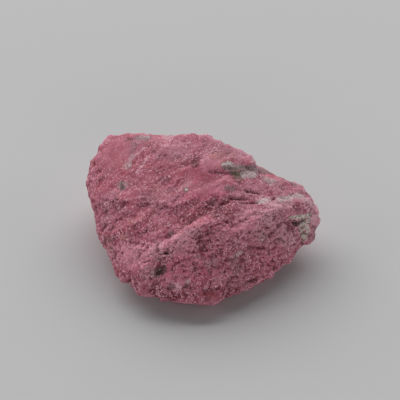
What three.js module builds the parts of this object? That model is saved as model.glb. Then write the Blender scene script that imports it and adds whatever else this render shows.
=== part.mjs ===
// A rough block of thulite, the pink variety of zoisite, as it broke from a massive vein.
// It is one natural stone. Units are millimetres, +Z is up, and the origin is on the resting
// face, below the middle of the stone. +X points to the stone's narrow nose, and -Y to the
// front, which is the broken face below the long rib.
//
// The block starts as the convex hull of its corners, seen from a point inside it, so that each
// direction from there meets the surface once. Ledges, hollows, ribs, chips and roughness then
// move the surface in or out along that direction, and the ground cuts it off where it rests.

import * as THREE from "three";
import { ConvexHull } from "three/addons/math/ConvexHull.js";
import { ImprovedNoise } from "three/addons/math/ImprovedNoise.js";
import { mergeVertices } from "three/addons/utils/BufferGeometryUtils.js";

// Driving dimensions of the block. A few of its corners reach a little past them.
const length = 96;
const depth = 78;
const height = 41;

// Finish of the broken surface.
const edgeWear = 0.35; // how softly neighbouring breaks meet
const rimWander = { wavelength: 11, reach: 1.6 }; // how far a ledge or a hollow's rim strays
const grainStretch = 1.9; // every pattern is this much longer along the grain than across it
const chips = { size: 8, tilt: 0.17, rise: 0.55, crispness: 9 };
const roughness = [
  { wavelength: 21, rise: 1.1 },
  { wavelength: 9.5, rise: 0.8 },
  { wavelength: 4.4, rise: 0.55 },
];
const meshDetail = 21; // gives 20 * (detail + 1)^2 triangles
const evenRounds = 10; // rounds of sliding the triangles to an even size

// Places are shares of the block: x and y of its half length and half depth, from the middle,
// and z of its height, from the ground.
const place = ([x, y, z]) =>
  new THREE.Vector3((x * length) / 2, (y * depth) / 2, z * height);

const heart = place([-0.04, 0.02, 0.42]);
const grain = new THREE.Vector3(0.86, 0.5, 0.08).normalize(); // the way the vein's layers run

const corners = {
  // back rim of the upper surface, from the left corner round to the nose
  rim: [
    [-0.92, 0.76, 0.72],
    [-0.86, 0.93, 0.76],
    [-0.62, 0.9, 0.83],
    [-0.3, 0.77, 0.88],
    [-0.15, 0.75, 0.95],
    [0.02, 0.64, 0.96],
    [0.23, 0.55, 0.94],
    [0.47, 0.45, 0.84],
    [0.63, 0.28, 0.64],
    [0.86, 0.27, 0.63],
    [0.93, 0.15, 0.54],
  ],
  // front of the upper surface, where it turns down
  brow: [
    [-0.96, 0.16, 0.5],
    [-0.75, 0.01, 0.6],
    [-0.66, -0.52, 0.38],
    [-0.48, -0.57, 0.5],
    [-0.22, -0.58, 0.64],
    [0.08, -0.45, 0.74],
    [0.36, -0.33, 0.71],
    [0.62, -0.19, 0.67],
    [0.86, -0.03, 0.57],
  ],
  // widest line round the stone
  girth: [
    [1.01, 0.01, 0.38],
    [1.0, -0.06, 0.24],
    [0.95, -0.15, 0.18],
    [0.79, -0.37, 0.17],
    [0.62, -0.46, 0.17],
    [0.5, -0.72, 0.16],
    [0.25, -0.76, 0.17],
    [0.06, -1.06, 0.16],
    [-0.12, -1.06, 0.17],
    [-0.27, -0.94, 0.19],
    [-0.5, -0.95, 0.19],
    [-0.62, -0.78, 0.18],
    [-0.79, -0.58, 0.16],
    [-0.81, -0.38, 0.18],
    [-0.87, -0.16, 0.23],
    [-0.94, 0.12, 0.3],
    [-1.0, 0.35, 0.38],
    [-1.04, 0.52, 0.45],
    [-1.01, 0.63, 0.52],
    [-0.86, 1.0, 0.42],
    [-0.48, 1.02, 0.36],
    [-0.1, 0.95, 0.4],
    [0.24, 0.83, 0.36],
    [0.56, 0.64, 0.36],
    [0.86, 0.37, 0.36],
  ],
  // flanks below the widest line, at the back and the ends
  flank: [
    [-0.92, 0.45, 0.2],
    [-0.84, 0.82, 0.2],
    [-0.3, 0.92, 0.16],
    [0.3, 0.76, 0.16],
    [0.78, 0.32, 0.14],
    [0.8, 0.05, 0.06],
  ],
  // underside, cut off by the ground to leave the foot that the stone rests on
  foot: [
    [-0.72, 0.4, -0.02],
    [-0.64, -0.3, -0.03],
    [-0.3, -0.72, -0.05],
    [0.1, -0.8, -0.05],
    [0.42, -0.5, -0.04],
    [0.72, -0.08, -0.02],
    [0.68, 0.2, -0.02],
    [0.2, 0.6, -0.02],
    [-0.4, 0.75, -0.02],
  ],
};

// A ledge steps down across its line, and the ground below climbs back over its reach.
const ledges = [
  // back wall of the front rib, with the crease at its bottom
  {
    line: [[-0.5, -0.5, 0.51], [-0.22, -0.47, 0.65], [-0.03, -0.38, 0.73], [0.12, -0.27, 0.77]],
    facing: [-0.47, 0.88, 0],
    drop: 3.2,
    reach: 5,
  },
  // the same crease, running on towards the nose
  {
    line: [[0.14, -0.25, 0.78], [0.3, -0.17, 0.77], [0.46, -0.14, 0.73]],
    facing: [-0.29, 0.96, 0],
    drop: 1.8,
    reach: 4,
  },
  // left edge of the upper surface
  {
    line: [[-0.96, 0.17, 0.5], [-0.75, 0.04, 0.6], [-0.5, -0.06, 0.67], [-0.3, -0.16, 0.71]],
    facing: [-0.1, -1, 0],
    drop: 1.8,
    reach: 9,
  },
  // upper step, below the highest corner
  {
    line: [[-0.16, 0.22, 0.86], [0.1, 0.2, 0.88], [0.25, 0.17, 0.85], [0.5, 0.2, 0.79]],
    facing: [0, -1, 0],
    drop: 1.5,
    reach: 8,
  },
  // two short cracks above the crease
  { line: [[0.2, -0.1, 0.78], [0.34, -0.11, 0.76]], facing: [0, -1, 0], drop: 1.1, reach: 2.5 },
  { line: [[0.36, 0, 0.78], [0.47, 0.01, 0.76]], facing: [0, -1, 0], drop: 1.1, reach: 2.5 },
  // crack across the front face
  { line: [[0.38, -0.5, 0.47], [0.53, -0.46, 0.4]], facing: [0.1, -0.5, -1], drop: 1.2, reach: 4 },
];
const ledgeWidth = 1.4; // how far a ledge takes to drop
const ledgeEnds = 5; // how far past the ends of its line a ledge fades out

// A hollow is a bowl or a trough, cut by a ball that rolls along its floor.
// `floor` holds the ends of its lowest line, and `opens` the way it faces.
const hollowSoftness = 0.7; // how softly a hollow's rim turns over
const hollows = [
  // pit in the crease
  { floor: [[0.08, -0.3, 0.71], [0.14, -0.24, 0.71]], opens: [-0.1, 0.2, 1], ball: 4 },
  // bowl in the front face, below the right end of the rib
  { floor: [[-0.02, -0.59, 0.55], [0.06, -0.64, 0.44]], opens: [0.2, -0.76, 0.62], ball: 11 },
  // dip in the back rim
  { floor: [[-0.4, 0.9, 0.81], [-0.3, 0.6, 0.83]], opens: [0, 0, 1], ball: 14 },
  // dip between the highest corner and the nose
  { floor: [[0.55, 0.34, 0.7], [0.72, 0.29, 0.63]], opens: [0.3, 0.5, 1], ball: 9 },
  // notch low on the front face
  { floor: [[0.23, -0.8, 0.08], [0.25, -0.81, 0.22]], opens: [0.4, -0.9, 0.2], ball: 6 },
  // groove below the nose
  { floor: [[0.82, -0.18, 0.2], [0.82, -0.12, 0.04]], opens: [0.6, -0.8, 0], ball: 5 },
  // pits where dark mineral has dropped out of the front face and the nose
  { floor: [[-0.38, -0.73, 0.36], [-0.35, -0.75, 0.36]], opens: [-0.3, -0.7, 0.6], ball: 2.5 },
  { floor: [[0.77, -0.14, 0.47], [0.79, -0.12, 0.46]], opens: [0.56, -0.72, 0.41], ball: 2.5 },
];

// A rib stands out along its line.
const ribs = [
  // front rib, along the brow
  {
    line: [[-0.64, -0.5, 0.38], [-0.46, -0.55, 0.5], [-0.22, -0.55, 0.63], [0.08, -0.43, 0.73]],
    rise: 1.0,
    width: 3,
  },
  // two lumps low on the front face
  { line: [[-0.22, -0.95, 0.26], [-0.18, -0.94, 0.28]], rise: 0.9, width: 2.2 },
  { line: [[-0.16, -0.91, 0.31], [-0.13, -0.9, 0.33]], rise: 0.9, width: 2 },
];

const noise = new ImprovedNoise();

function noiseAt(point, wavelength, shift) {
  const p = point.clone().divideScalar(wavelength);
  return noise.noise(p.x + shift, p.y - shift, p.z + 2 * shift);
}

// Three numbers from -1 to 1 that look random and belong to one place.
function scatter(x, y, z) {
  const mix = (a, b, c) => {
    const wave = Math.sin(a * x + b * y + c * z) * 43758.5453;
    return 2 * (wave - Math.floor(wave)) - 1;
  };
  return new THREE.Vector3(mix(127.1, 311.7, 74.7), mix(269.5, 183.3, 246.1), mix(113.5, 271.9, 124.6));
}

// The grain squeezes a pattern along itself, so that it comes out longer that way.
function alongGrain(point) {
  const squeeze = point.dot(grain) * (1 / grainStretch - 1);
  return point.clone().addScaledVector(grain, squeeze);
}

// The nearest point of a bent line.
function nearestOn(line, point) {
  const best = line[0].clone();
  const candidate = new THREE.Vector3();
  for (let i = 1; i < line.length; i++) {
    new THREE.Line3(line[i - 1], line[i]).closestPointToPoint(point, true, candidate);
    if (candidate.distanceTo(point) < best.distanceTo(point)) best.copy(candidate);
  }
  return best;
}

// Rims and ledges are measured from a point that strays, so that they wander as broken edges do.
function strayed(point) {
  const { wavelength, reach } = rimWander;
  const shifts = [1.3, 5.9, 9.1].map((shift) => reach * noiseAt(point, wavelength, shift));
  return point.clone().add(new THREE.Vector3(...shifts));
}

// Distance from the heart to the hull's worn surface along a direction.
function hullReach(hull, direction) {
  let sum = 0;
  for (const face of hull.faces) {
    const closing = face.normal.dot(direction);
    if (closing > 1e-6) {
      const reach = (face.constant - face.normal.dot(heart)) / closing;
      sum += Math.exp(-reach / edgeWear);
    }
  }
  return -edgeWear * Math.log(sum);
}

function ledgeDepth(point) {
  let total = 0;
  for (const { line, facing, drop, reach } of ledges) {
    const offset = point.clone().sub(nearestOn(line.map(place), point));
    const below = offset.dot(new THREE.Vector3(...facing).normalize());
    if (below > 0) {
      const aside = Math.sqrt(Math.max(offset.lengthSq() - below * below, 0)) / ledgeEnds;
      const step = (1 - Math.exp(-below / ledgeWidth)) * Math.exp(-below / reach);
      total += drop * step * Math.exp(-aside * aside);
    }
  }
  return total;
}

function hollowDepth(point) {
  let total = 0;
  for (const { floor, opens, ball } of hollows) {
    const lift = new THREE.Vector3(...opens).setLength(ball);
    const track = floor.map((end) => place(end).add(lift));
    const depthInBall = ball - nearestOn(track, point).distanceTo(point);
    total += hollowSoftness * Math.log(1 + Math.exp(depthInBall / hollowSoftness));
  }
  return total;
}

function ribHeight(point) {
  let total = 0;
  for (const { line, rise, width } of ribs) {
    const away = nearestOn(line.map(place), point).distanceTo(point) / width;
    total += rise * Math.exp(-away * away);
  }
  return total;
}

// Small flat breaks. Each point leans to the nearest of many scattered centres, and each centre
// has its own tilt and rise.
function chipHeight(point) {
  const p = alongGrain(point).divideScalar(chips.size);
  const cell = p.clone().floor();
  let total = 0;
  let weights = 0;
  for (let i = -1; i <= 1; i++)
    for (let j = -1; j <= 1; j++)
      for (let k = -1; k <= 1; k++) {
        const [x, y, z] = [cell.x + i, cell.y + j, cell.z + k];
        const centre = scatter(x, y, z).multiplyScalar(0.5).add(new THREE.Vector3(x, y, z));
        const offset = p.clone().sub(centre).subScalar(0.5);
        const weight = Math.exp(-chips.crispness * offset.lengthSq());
        const slope = scatter(x + 0.37, y, z);
        const rise = scatter(x, y + 0.71, z).x * chips.rise;
        total += weight * (rise + chips.tilt * chips.size * slope.dot(offset));
        weights += weight;
      }
  return total / weights;
}

function roughnessAt(point) {
  const p = alongGrain(point);
  return roughness.reduce(
    (total, { wavelength, rise }, i) => total + rise * noiseAt(p, wavelength, 3.7 * (i + 1)),
    0,
  );
}

// The ground cuts off what reaches below it.
function cutByGround(point) {
  if (point.z < 0) point.lerp(heart, -point.z / (heart.z - point.z)).setZ(0);
  return point;
}

function hullPoint(hull, direction) {
  return cutByGround(heart.clone().addScaledVector(direction, hullReach(hull, direction)));
}

function surfacePoint(hull, direction) {
  const point = heart.clone().addScaledVector(direction, hullReach(hull, direction));
  const wandering = strayed(point);
  const raised = ribHeight(wandering) + roughnessAt(point) + chipHeight(point);
  const sunk = ledgeDepth(wandering) + hollowDepth(wandering);
  return cutByGround(point.addScaledVector(direction, raised - sunk));
}

// A triangle mesh of directions whose triangles come out about even on the hull.
function evenDirections(hull) {
  const ball = new THREE.IcosahedronGeometry(1, meshDetail);
  ball.deleteAttribute("normal");
  ball.deleteAttribute("uv");
  const mesh = mergeVertices(ball);
  const positions = mesh.getAttribute("position");
  // A flat block needs its directions crowded towards its rim.
  const crowding = new THREE.Vector3((length / height) ** (2 / 3), (depth / height) ** (2 / 3), 1);
  let directions = [];
  for (let i = 0; i < positions.count; i++) {
    const direction = new THREE.Vector3().fromBufferAttribute(positions, i);
    directions.push(direction.multiply(crowding).normalize());
  }
  const neighbours = directions.map(() => new Set());
  const index = mesh.getIndex().array;
  for (let i = 0; i < index.length; i += 3) {
    const [a, b, c] = index.slice(i, i + 3);
    neighbours[a].add(b).add(c);
    neighbours[b].add(c).add(a);
    neighbours[c].add(a).add(b);
  }
  for (let round = 0; round < evenRounds; round++) {
    const points = directions.map((direction) => hullPoint(hull, direction));
    directions = neighbours.map((around) => {
      const middle = new THREE.Vector3();
      for (const i of around) middle.add(points[i]);
      return middle.divideScalar(around.size).sub(heart).normalize();
    });
  }
  return { mesh, directions };
}

function stoneGeometry() {
  const hull = new ConvexHull().setFromPoints(Object.values(corners).flat().map(place));
  const { mesh, directions } = evenDirections(hull);
  const positions = mesh.getAttribute("position");
  directions.forEach((direction, i) => positions.setXYZ(i, ...surfacePoint(hull, direction)));
  mesh.computeBoundingBox();
  const middle = mesh.boundingBox.getCenter(new THREE.Vector3());
  mesh.translate(-middle.x, -middle.y, 0);
  mesh.computeVertexNormals();
  return mesh;
}

const thulite = new THREE.MeshStandardMaterial({ color: 0xb5707f, roughness: 0.72, metalness: 0 });

const stone = new THREE.Mesh(stoneGeometry(), thulite);
stone.name = "thulite_stone";

const specimen = new THREE.Group();
specimen.name = "thulite_specimen";
specimen.add(stone);

export default specimen;
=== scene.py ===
# Thulite specimen: the stone's broken, sugary surface, its minerals, a plain pale table and the light.
# Metres and +Z up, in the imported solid's own frame. Patterns and reliefs are set in millimetres.
import math
import bpy
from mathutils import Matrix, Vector


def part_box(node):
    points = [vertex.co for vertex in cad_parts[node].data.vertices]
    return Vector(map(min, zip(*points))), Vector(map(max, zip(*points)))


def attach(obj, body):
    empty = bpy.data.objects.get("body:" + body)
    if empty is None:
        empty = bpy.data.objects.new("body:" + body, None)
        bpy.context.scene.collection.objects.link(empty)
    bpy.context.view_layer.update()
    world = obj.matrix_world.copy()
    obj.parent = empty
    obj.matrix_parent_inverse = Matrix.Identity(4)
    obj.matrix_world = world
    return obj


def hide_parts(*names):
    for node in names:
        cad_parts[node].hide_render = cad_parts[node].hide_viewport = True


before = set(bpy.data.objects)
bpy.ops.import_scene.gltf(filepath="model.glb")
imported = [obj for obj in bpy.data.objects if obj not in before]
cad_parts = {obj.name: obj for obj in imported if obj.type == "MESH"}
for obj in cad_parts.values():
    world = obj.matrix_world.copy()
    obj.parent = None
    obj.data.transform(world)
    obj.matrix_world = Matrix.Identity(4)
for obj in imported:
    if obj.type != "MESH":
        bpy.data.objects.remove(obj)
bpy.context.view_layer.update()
bpy.ops.object.select_all(action="DESELECT")

perMetre = 1000.0         # millimetres in a metre
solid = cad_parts["thulite_stone"]
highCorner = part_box("thulite_stone")[1]
halfLength = highCorner.x * perMetre
halfDepth = highCorner.y * perMetre
height = highCorner.z * perMetre
print("frame loaded: the stone is", [round(2 * halfLength), round(2 * halfDepth), round(height)], "mm")

# The way the stone's layers run: turned from +X about Z, and rising a little, in degrees.
grain = {"turn": 30, "rise": 5}


def place(share):
    # a point of the stone in millimetres, from shares of its half length, half depth and height
    return (share[0] * halfLength, share[1] * halfDepth, share[2] * height)


# Node helpers, for materials and for geometry alike.

def feed(tree, socket, value):
    if isinstance(value, bpy.types.NodeSocket):
        tree.links.new(value, socket)
    else:
        socket.default_value = value


def addNode(tree, kind, values=None, **settings):
    node = tree.nodes.new(kind)
    for name, setting in settings.items():
        setattr(node, name, setting)
    for name, value in (values or {}).items():
        feed(tree, node.inputs[name], value)
    return node


def maths(tree, operation, first, second=0.0, third=0.0, clamp=False):
    node = addNode(tree, "ShaderNodeMath", {0: first, 1: second, 2: third}, operation=operation)
    node.use_clamp = clamp
    return node.outputs[0]


def combined(tree, operation, values):
    # one value from many, such as their sum or the greatest of them
    total = values[0]
    for value in values[1:]:
        total = maths(tree, operation, total, value)
    return total


def swing(tree, value, rise):
    # noise from 0 to 1 made a rise and a fall of that much
    return maths(tree, "MULTIPLY", maths(tree, "SUBTRACT", value, 0.5), 2 * rise)


def spread(tree, value, fromLow, fromHigh, toLow=0.0, toHigh=1.0, soft=False):
    # maps a range to another one and stops at its ends
    node = addNode(tree, "ShaderNodeMapRange", {0: value, 1: fromLow, 2: fromHigh, 3: toLow, 4: toHigh})
    node.interpolation_type = "SMOOTHSTEP" if soft else "LINEAR"
    node.clamp = not soft
    return node.outputs[0]


def vectorMaths(tree, operation, first, second):
    node = addNode(tree, "ShaderNodeVectorMath", {0: first, 1: second}, operation=operation)
    return node.outputs["Value" if operation in ("DOT_PRODUCT", "DISTANCE") else "Vector"]


def stretched(tree, vector, factor):
    # a vector times a number or a value
    node = addNode(tree, "ShaderNodeVectorMath", {0: vector, "Scale": factor}, operation="SCALE")
    return node.outputs["Vector"]


def parted(tree, vector):
    # the three numbers of a vector or a colour
    return addNode(tree, "ShaderNodeSeparateXYZ", {0: vector}).outputs


def centred(tree, colour):
    # a colour from 0 to 1 as a vector that points all ways
    return vectorMaths(tree, "SUBTRACT", colour, (0.5, 0.5, 0.5))


def pushed(tree, point, noise, reach):
    # a point pushed about by a noise, up to `reach` millimetres along each axis
    offset = centred(tree, noise.outputs["Color"])
    return vectorMaths(tree, "ADD", point, stretched(tree, offset, 2 * reach))


def blendColour(tree, amount, first, second, how="MIX"):
    node = addNode(tree, "ShaderNodeMix", {0: amount, 6: first, 7: second}, data_type="RGBA", blend_type=how)
    return node.outputs[2]


def clouds(tree, point, size, detail=2.0, rough=0.5, warp=0.0):
    # soft noise with lumps about `size` millimetres apart
    values = {"Vector": point, "Scale": 1 / size, "Detail": detail, "Roughness": rough, "Distortion": warp}
    return addNode(tree, "ShaderNodeTexNoise", values)


def cells(tree, point, size, feature="F1"):
    # scattered cells about `size` millimetres wide
    return addNode(tree, "ShaderNodeTexVoronoi", {"Vector": point, "Scale": 1 / size}, feature=feature)


def alongGrain(tree, point, stretch):
    # squeezes a pattern's point along the grain, so that the pattern comes out `stretch` times longer there
    turned = addNode(tree, "ShaderNodeVectorRotate", {"Vector": point}, rotation_type="EULER_XYZ")
    turned.invert = True
    turned.inputs["Rotation"].default_value = (0, -math.radians(grain["rise"]), math.radians(grain["turn"]))
    return vectorMaths(tree, "MULTIPLY", turned.outputs[0], (1 / stretch, 1, 1))


def newSocket(tree, name, kind, way="INPUT", start=None):
    socket = tree.interface.new_socket(name, in_out=way, socket_type=kind)
    if start is not None:
        socket.default_value = start


# A mark is a ragged streak from one place to another, or a spot where it has one place only. The places are
# shares of the stone, half widths and lumps along the edge are in millimetres, and `much` is the strength.

def buildStreak(name, treeKind):
    # a node group that gives the mask of one mark
    tree = bpy.data.node_groups.new(name, treeKind)
    for end in ("Point", "From", "To"):
        newSocket(tree, end, "NodeSocketVector")
    for looks, start in {"Width": 1.0, "Ragged": 0.5, "Stray": 0.0, "Edge": 0.5}.items():
        newSocket(tree, looks, "NodeSocketFloat", start=start)
    newSocket(tree, "Mask", "NodeSocketFloat", "OUTPUT")
    given = addNode(tree, "NodeGroupInput").outputs
    along = vectorMaths(tree, "SUBTRACT", given["To"], given["From"])
    away = vectorMaths(tree, "SUBTRACT", given["Point"], given["From"])
    reached = vectorMaths(tree, "DOT_PRODUCT", away, along)
    whole = vectorMaths(tree, "DOT_PRODUCT", along, along)
    share = maths(tree, "MAXIMUM", 0.0, maths(tree, "MINIMUM", 1.0, maths(tree, "DIVIDE", reached, whole)))
    distance = vectorMaths(tree, "DISTANCE", away, stretched(tree, along, share))
    inWidths = maths(tree, "DIVIDE", distance, given["Width"])
    reach = maths(tree, "MULTIPLY_ADD", given["Stray"], given["Ragged"], inWidths)
    inner = maths(tree, "SUBTRACT", 1.0, given["Edge"])
    outer = maths(tree, "ADD", 1.0, given["Edge"])
    mask = spread(tree, reach, inner, outer, 1.0, 0.0, soft=True)
    addNode(tree, "NodeGroupOutput", {"Mask": mask})
    return tree


def strayNoises(tree, point, marks, usual):
    # the noises that make the marks' edges ragged, one for each size of lumps
    sizes = sorted({mark.get("lumps", usual["lumps"]) for mark in marks})
    noises = {size: clouds(tree, point, size, detail=3, rough=0.6).outputs[0] for size in sizes}
    return {size: swing(tree, noise, 2.0) for size, noise in noises.items()}


def markMasks(tree, streak, point, marks, usual, where=place):
    # each mark's mask at its strength; the mark's own numbers go before the usual ones
    strays = strayNoises(tree, point, marks, usual)
    groupKind = "ShaderNodeGroup" if tree.bl_idname == "ShaderNodeTree" else "GeometryNodeGroup"
    masks = []
    for mark in marks:
        looks = {**usual, **mark}
        ends = {"Point": point, "From": where(mark["at"]), "To": where(mark.get("to", mark["at"]))}
        edges = {"Width": looks["width"], "Ragged": looks["ragged"], "Stray": strays[looks["lumps"]],
                 "Edge": looks["edge"]}
        node = addNode(tree, groupKind, {**ends, **edges}, node_tree=streak)
        masks.append(maths(tree, "MULTIPLY", node.outputs["Mask"], looks["much"]))
    return masks


# The stone's shape. Sizes, rises, widths and depths are in millimetres, and a tilt is a slope.

stoneShape = {
    "weld": 0.01,             # the solid's loose corners nearer than this become one
    "cuts": 3,                # each of the solid's triangles becomes 16
    "smoothRounds": 14,       # takes the flat facets away
    "lumps": {"size": 7.0, "rise": 0.40},
    "breaks": {"size": 4.4, "tilt": 0.22, "rise": 0.26, "stretch": 1.4, "warpSize": 3.52, "warp": 1.1},
    "chips": {"size": 1.6, "tilt": 0.32, "rise": 0.17, "stretch": 1.5, "warpSize": 1.28, "warp": 0.4},
    "hackle": {"size": 1.3, "rise": 0.26, "stretch": 4.0, "lostOnSteep": 0.6},
    "sugar": {"size": 0.7, "rise": 0.18},
    "pits": {"size": 2.8, "stretch": 1.4, "share": 0.30, "width": 0.75, "deep": 0.6},
    "hairlines": {"size": 8.0, "stretch": 2.4, "width": 0.45, "deep": 0.45, "warpSize": 3.0, "warp": 1.5,
                  "gapSize": 6.0, "gaps": (0.46, 0.56)},
    "steepness": (0.90, 0.5),  # how far the normal points up on a level and on a steep face
    "levelShare": 0.36,       # how much of the relief is left where the surface lies level
    "steepShare": 1.2,        # and how much stands on the steep faces
    "roughGain": 0.3,         # what a rough place adds
    "calmLoss": {"fine": 0.8, "broad": 0.6, "grains": 0.4},
    "softenRounds": 1,        # how far the small steps are blurred
    "footFade": (0.3, 2.2),   # heights between which the relief comes in, above the resting face
    "fineRounds": 4,          # blur of the surface that tells small hollows
    "broadRounds": 60,        # and broad ones
}

# Creases and cracks cut into the surface, with their depth in millimetres. Those with a depth below 0 swell.
cuts = [
    {"at": (-0.60, -0.41, 0.46), "to": (-0.52, -0.47, 0.50), "width": 0.6, "deep": 0.49},
    {"at": (-0.30, -0.49, 0.62), "to": (-0.25, -0.47, 0.65), "width": 0.8, "deep": 0.56},
    {"at": (-0.20, -0.43, 0.68), "to": (-0.08, -0.32, 0.71), "width": 0.8, "deep": 0.24},
    {"at": (-0.08, -0.32, 0.71), "to": (0.09, -0.23, 0.74), "width": 0.8, "deep": 0.21},
    {"at": (0.05, -0.20, 0.73), "to": (0.14, -0.17, 0.74), "width": 2.6, "deep": -0.8},
    {"at": (0.18, -0.47, 0.66), "to": (0.42, -0.35, 0.65), "width": 3.0, "deep": -0.9},
    {"at": (-0.45, -0.52, 0.54), "to": (-0.27, -0.48, 0.64), "width": 2.2, "deep": 0.65, "ragged": 1.1},
    {"at": (-0.27, -0.48, 0.64), "to": (-0.10, -0.39, 0.71), "width": 2.2, "deep": 0.65, "ragged": 1.1},
    {"at": (-0.14, -0.34, 0.69), "to": (0.13, -0.21, 0.75), "width": 2.6, "deep": 0.9},
    {"at": (-0.37, -0.62, 0.50), "to": (-0.10, -0.59, 0.61), "width": 3.2, "deep": -1.0},
    {"at": (-0.26, -0.86, 0.30), "to": (-0.20, -0.86, 0.31), "width": 2.2, "deep": -0.6},
    {"at": (-0.21, -0.57, 0.64), "to": (-0.01, -0.50, 0.68), "width": 2.6, "deep": -0.5},
    {"at": (0.43, 0.36, 0.84), "width": 3.5, "deep": -1.1},
    {"at": (0.06, -0.20, 0.73), "to": (0.21, -0.15, 0.77), "width": 0.6, "deep": 0.55},
    {"at": (0.23, -0.11, 0.78), "to": (0.36, -0.08, 0.75), "width": 0.6, "deep": 0.5},
    {"at": (0.31, -0.15, 0.76), "to": (0.46, -0.10, 0.72), "width": 0.5, "deep": 0.63},
    {"at": (0.37, 0.01, 0.77), "to": (0.48, 0.01, 0.74), "width": 0.5, "deep": 0.63},
    {"at": (0.27, 0.09, 0.84), "to": (0.32, 0.08, 0.82), "width": 0.5, "deep": 0.42},
    {"at": (0.07, 0.18, 0.88), "to": (0.28, 0.17, 0.86), "width": 0.6, "deep": 0.4},
    {"at": (-0.53, -0.07, 0.64), "to": (-0.46, -0.08, 0.64), "width": 0.5, "deep": 0.35},
    {"at": (-0.40, -0.18, 0.66), "to": (-0.36, -0.21, 0.66), "width": 0.5, "deep": 0.42},
    {"at": (0.39, -0.51, 0.49), "to": (0.52, -0.46, 0.43), "width": 0.5, "deep": 0.63},
    {"at": (0.39, -0.72, 0.22), "to": (0.45, -0.68, 0.20), "width": 0.5, "deep": 0.56},
]
usualCut = {"ragged": 0.7, "lumps": 1.6, "edge": 0.7, "much": 1.0}

# Places where the surface broke smoother, and places where it stayed rougher.
calmPlaces = [
    {"at": (0.00, 0.09, 0.84), "width": 5.5},
    {"at": (-0.73, 0.62, 0.77), "width": 7.0},
    {"at": (-0.62, -0.58, 0.35), "width": 4.5},
    {"at": (0.09, 0.26, 0.92), "width": 3.0},
    {"at": (-0.84, 0.14, 0.52), "width": 8.0, "much": 0.4},
    {"at": (-0.30, 0.10, 0.76), "to": (-0.12, -0.28, 0.71), "width": 8.0, "much": 0.25},
    {"at": (0.04, -0.30, 0.74), "width": 6.0, "much": 0.25},
    {"at": (-0.50, 0.95, 0.35), "to": (0.70, 0.70, 0.25), "width": 17.0, "much": 0.8},
    {"at": (-1.00, 0.30, 0.20), "width": 13.0, "much": 0.5},
]
roughPlaces = [
    {"at": (-0.23, -0.17, 0.72), "to": (0.19, -0.20, 0.76), "width": 3.5, "much": 0.4},
    {"at": (-0.80, 0.02, 0.55), "to": (-0.60, -0.10, 0.58), "width": 4.0, "much": 0.4},
    {"at": (-0.43, -0.52, 0.54), "to": (0.08, -0.40, 0.76), "width": 3.0, "much": 0.5},
    {"at": (-0.42, -0.72, 0.38), "to": (-0.30, -0.66, 0.45), "width": 4.5, "much": 1.8},
    {"at": (-0.05, -0.68, 0.46), "to": (0.20, -0.74, 0.28), "width": 6.0, "much": 1.8},
    {"at": (0.55, -0.30, 0.60), "to": (0.80, -0.20, 0.42), "width": 6.0, "much": 1.2},
]
usualPlace = {"ragged": 0.3, "lumps": 4.0, "edge": 0.4, "much": 1.0}


def facets(tree, point, parts):
    # small flat breaks: each cell leans its own way and stands at its own height
    streaky = alongGrain(tree, point, parts["stretch"])
    bent = pushed(tree, streaky, clouds(tree, point, parts["warpSize"]), parts["warp"])
    cell = cells(tree, bent, parts["size"])
    lean = centred(tree, cell.outputs["Color"])
    fromMiddle = vectorMaths(tree, "SUBTRACT", bent, cell.outputs["Position"])
    tilted = vectorMaths(tree, "DOT_PRODUCT", lean, fromMiddle)
    raised = swing(tree, parted(tree, cell.outputs["Color"])[1], parts["rise"])
    return maths(tree, "MULTIPLY_ADD", tilted, 2 * parts["tilt"], raised)


def pitted(tree, point, parts):
    # small bowls in some of the cells, shallower in half of those
    cell = cells(tree, alongGrain(tree, point, parts["stretch"]), parts["size"])
    own = parted(tree, cell.outputs["Color"])[0]
    chosen = spread(tree, own, 1 - parts["share"], 1 - 0.5 * parts["share"])
    away = maths(tree, "MULTIPLY", cell.outputs["Distance"], parts["size"])
    bowl = spread(tree, away, 0.3 * parts["width"], parts["width"], -parts["deep"], 0.0, soft=True)
    return maths(tree, "MULTIPLY", bowl, chosen)


def hairlines(tree, point, parts):
    # thin cracks between large cells, broken off here and there
    streaky = alongGrain(tree, point, parts["stretch"])
    bent = pushed(tree, streaky, clouds(tree, point, parts["warpSize"]), parts["warp"])
    edges = cells(tree, bent, parts["size"], "DISTANCE_TO_EDGE")
    away = maths(tree, "MULTIPLY", edges.outputs["Distance"], parts["size"])
    groove = spread(tree, away, 0.0, parts["width"], -parts["deep"], 0.0, soft=True)
    whole = spread(tree, clouds(tree, point, parts["gapSize"]).outputs[0], *parts["gaps"])
    return maths(tree, "MULTIPLY", groove, whole)


def inUse(sockets, kind):
    # a geometry node keeps a socket for each kind of data, and shows the one that is in use
    return [socket for socket in sockets if socket.type == kind and socket.enabled][0]


def blurred(tree, value, rounds, data, kind):
    # a value averaged with its neighbours' on the mesh
    node = addNode(tree, "GeometryNodeBlurAttribute", {"Iterations": rounds}, data_type=data)
    feed(tree, inUse(node.inputs, kind), value)
    return inUse(node.outputs, kind)


def hollowness(tree, rounds):
    # how far the surface lies below its own blurred shape, in millimetres
    position = addNode(tree, "GeometryNodeInputPosition").outputs[0]
    normal = addNode(tree, "GeometryNodeInputNormal").outputs[0]
    rise = vectorMaths(tree, "SUBTRACT", blurred(tree, position, rounds, "FLOAT_VECTOR", "VECTOR"), position)
    return maths(tree, "MULTIPLY", vectorMaths(tree, "DOT_PRODUCT", rise, normal), perMetre)


def keepValue(tree, geometry, name, value):
    # stores a value on the mesh for the material
    node = addNode(tree, "GeometryNodeStoreNamedAttribute", {"Geometry": geometry, "Name": name},
                   data_type="FLOAT", domain="POINT")
    feed(tree, inUse(node.inputs, "VALUE"), value)
    return node.outputs["Geometry"]


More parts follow.
